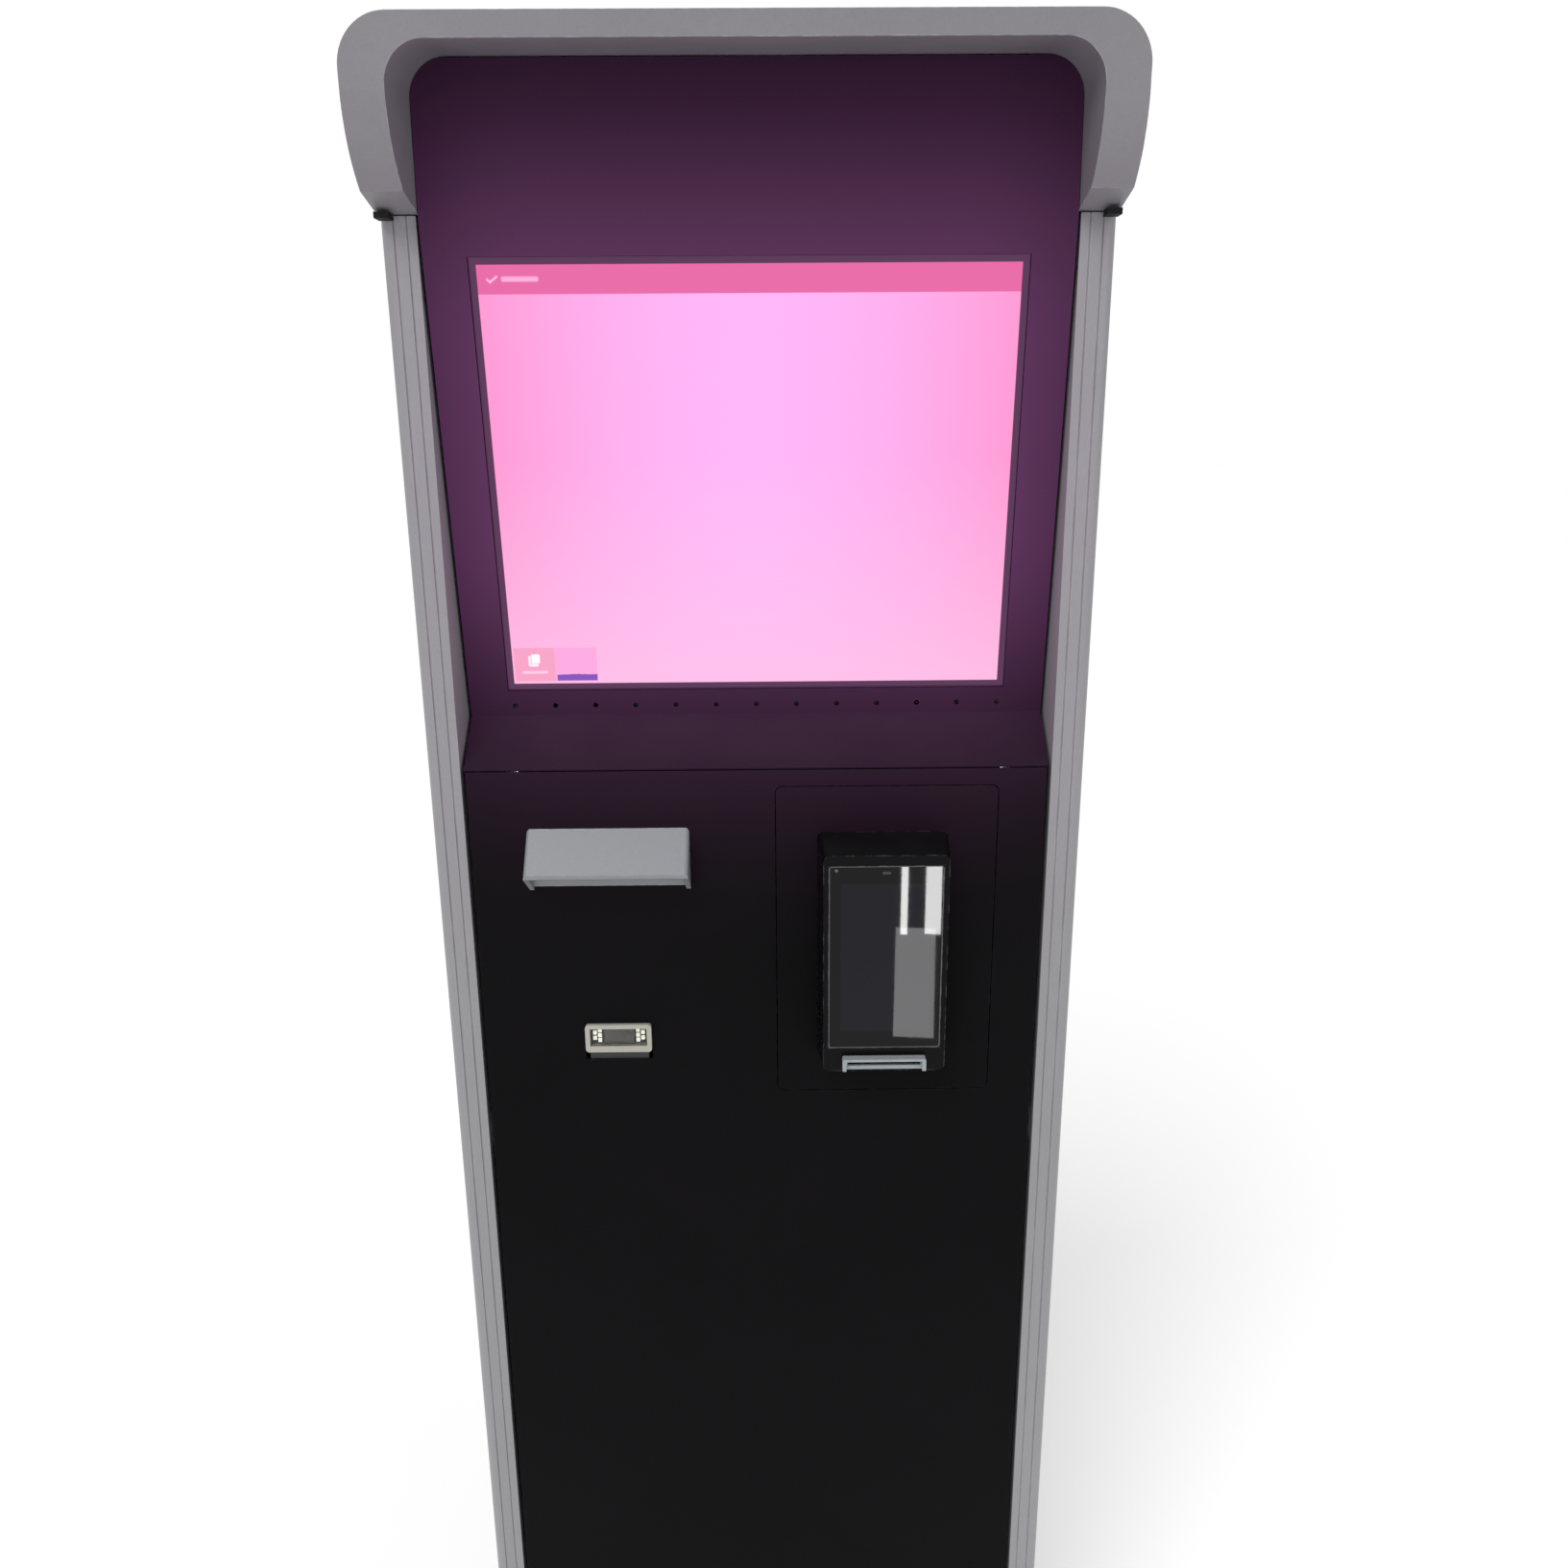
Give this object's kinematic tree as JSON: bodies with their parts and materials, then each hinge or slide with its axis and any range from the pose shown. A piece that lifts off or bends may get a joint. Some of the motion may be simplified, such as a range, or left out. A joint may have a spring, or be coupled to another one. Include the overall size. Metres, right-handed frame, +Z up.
{
  "type": "self checkout kiosk",
  "caption": "Floor-standing self checkout kiosk: hooded column with a leaning touch screen, receipt outlet, barcode scanner, payment terminal and a rear service door.",
  "frame": {"origin": "middle of the base plate's underside, on the floor", "axes": "+Z up, -Y towards the customer, +X to the customer's right"},
  "size_m": [0.52, 0.42, 1.65],
  "materials": {
    "base_black": "satin powder coat",
    "post_grey": "satin paint",
    "hood_grey": "satin paint",
    "black_powder": "fine textured powder coat",
    "zinc_steel": "zinc plated",
    "bright_steel": "ground",
    "slate_steel": "satin paint",
    "black_rubber": "matte",
    "black_plastic": "fine texture",
    "gloss_black": "polished",
    "clear_glass": "polished",
    "dark_glass": "polished",
    "screen": "lit display",
    "terminal_screen": "unlit display",
    "pale_bezel": "smooth",
    "receipt_grey": "satin paint",
    "scanner_beige": "smooth",
    "led_white": "smooth",
    "alloy_case": "brushed",
    "lock_nickel": "plated",
    "white_paper": "matte",
    "brown_card": "matte",
    "button_grey": "smooth",
    "rocker_red": "smooth"
  },
  "bodies": {
    "root": {"base_plate": "base_black", "foot_brackets": "zinc_steel", "left_front_post": "post_grey", "left_rear_post": "post_grey", "left_side_panel": "post_grey", "right_front_post": "post_grey", "right_rear_post": "post_grey", "right_side_panel": "post_grey", "cross_rails": "zinc_steel", "hood": "hood_grey", "hood_seals": "black_rubber", "display_panel": "black_powder", "lower_front_panel": "black_powder", "screen_gasket": "black_rubber", "touch_glass": "clear_glass", "lcd_panel": "screen", "monitor_chassis": "zinc_steel", "speaker_box": "black_plastic", "terminal_plate": "black_powder", "terminal_housing": "gloss_black", "terminal_glass": "dark_glass", "terminal_display": "terminal_screen", "card_slot_bezel": "pale_bezel", "receipt_bezel": "receipt_grey", "printer_tray": "zinc_steel", "printer_frame": "zinc_steel", "print_head": "black_plastic", "drive_motor": "zinc_steel", "roll_spindle": "bright_steel", "scanner_bezel": "scanner_beige", "scanner_window": "clear_glass", "scanner_body": "black_plastic", "scanner_leds": "led_white", "scanner_bracket": "slate_steel", "equipment_shelf": "zinc_steel", "pc_case": "black_plastic", "power_supply": "alloy_case", "rear_upper_panel": "black_powder", "rear_lower_panel": "black_powder", "rear_panel_screws": "bright_steel", "power_inlet": "black_plastic", "fan_frame": "black_plastic", "frame_hinge_leaves": "bright_steel", "hinge_pins": "bright_steel"},
    "service_door": {"service_door": "black_powder", "door_hinge_leaves": "bright_steel", "lock_housing": "lock_nickel"},
    "door_lock": {"lock_barrel": "lock_nickel", "lock_cam": "bright_steel"},
    "printer_lid": {"printer_lid": "black_plastic"},
    "platen": {"platen_shaft": "bright_steel", "platen_roller": "black_rubber"},
    "motor_gear": {"motor_gear": "bright_steel"},
    "cutter_blade": {"cutter_blade": "bright_steel"},
    "paper_roll": {"paper_roll": "white_paper", "roll_core": "brown_card"},
    "feed_button": {"feed_button": "button_grey"},
    "pc_button": {"pc_button": "button_grey"},
    "fan_rotor": {"fan_rotor": "black_plastic"},
    "power_rocker": {"power_rocker": "rocker_red"}
  },
  "joints": [
    {"name": "service_door_hinge", "type": "hinge", "parent": "root", "child": "service_door", "pos_m": [0.224, 0.0935, 0.675], "axis": [0, 0, -1], "range_deg": [0, 110]},
    {"name": "door_lock_turn", "type": "hinge", "parent": "service_door", "child": "door_lock", "pos_m": [-0.196, 0.09, 0.675], "axis": [0, 1, 0], "range_deg": [0, 90]},
    {"name": "printer_lid_hinge", "type": "hinge", "parent": "root", "child": "printer_lid", "pos_m": [-0.1156, -0.044, 1.077], "axis": [-1, 0, 0], "range_deg": [0, 80]},
    {"name": "platen_spin", "type": "hinge", "parent": "printer_lid", "child": "platen", "pos_m": [-0.1156, -0.08, 1.077], "axis": [1, 0, 0], "continuous": true},
    {"name": "motor_spin", "type": "hinge", "parent": "root", "child": "motor_gear", "pos_m": [-0.1156, -0.06786, 1.06818], "axis": [1, 0, 0], "continuous": true},
    {"name": "cutter_slide", "type": "slide", "parent": "root", "child": "cutter_blade", "axis": [0, 0, -1], "range_m": [0, 0.008]},
    {"name": "paper_roll_spin", "type": "hinge", "parent": "root", "child": "paper_roll", "pos_m": [-0.1156, 0.012, 1.05], "axis": [1, 0, 0], "continuous": true},
    {"name": "feed_button_press", "type": "slide", "parent": "root", "child": "feed_button", "axis": [0, -1, 0], "range_m": [0, 0.001], "stiffness_N_per_m": 400},
    {"name": "pc_button_press", "type": "slide", "parent": "root", "child": "pc_button", "axis": [0, -1, 0], "range_m": [0, 0.001], "stiffness_N_per_m": 400},
    {"name": "fan_spin", "type": "hinge", "parent": "root", "child": "fan_rotor", "pos_m": [0, 0.075, 1.588], "axis": [0, 1, 0], "continuous": true},
    {"name": "rocker_tilt", "type": "hinge", "parent": "root", "child": "power_rocker", "pos_m": [-0.133, 0.09, 0.12], "axis": [1, 0, 0], "range_deg": [-8, 8]}
  ],
  "couplings": [
    {"joint": "platen_spin", "follows": "paper_roll_spin", "ratio": -5.7143},
    {"joint": "motor_spin", "follows": "paper_roll_spin", "ratio": 11.429}
  ]
}
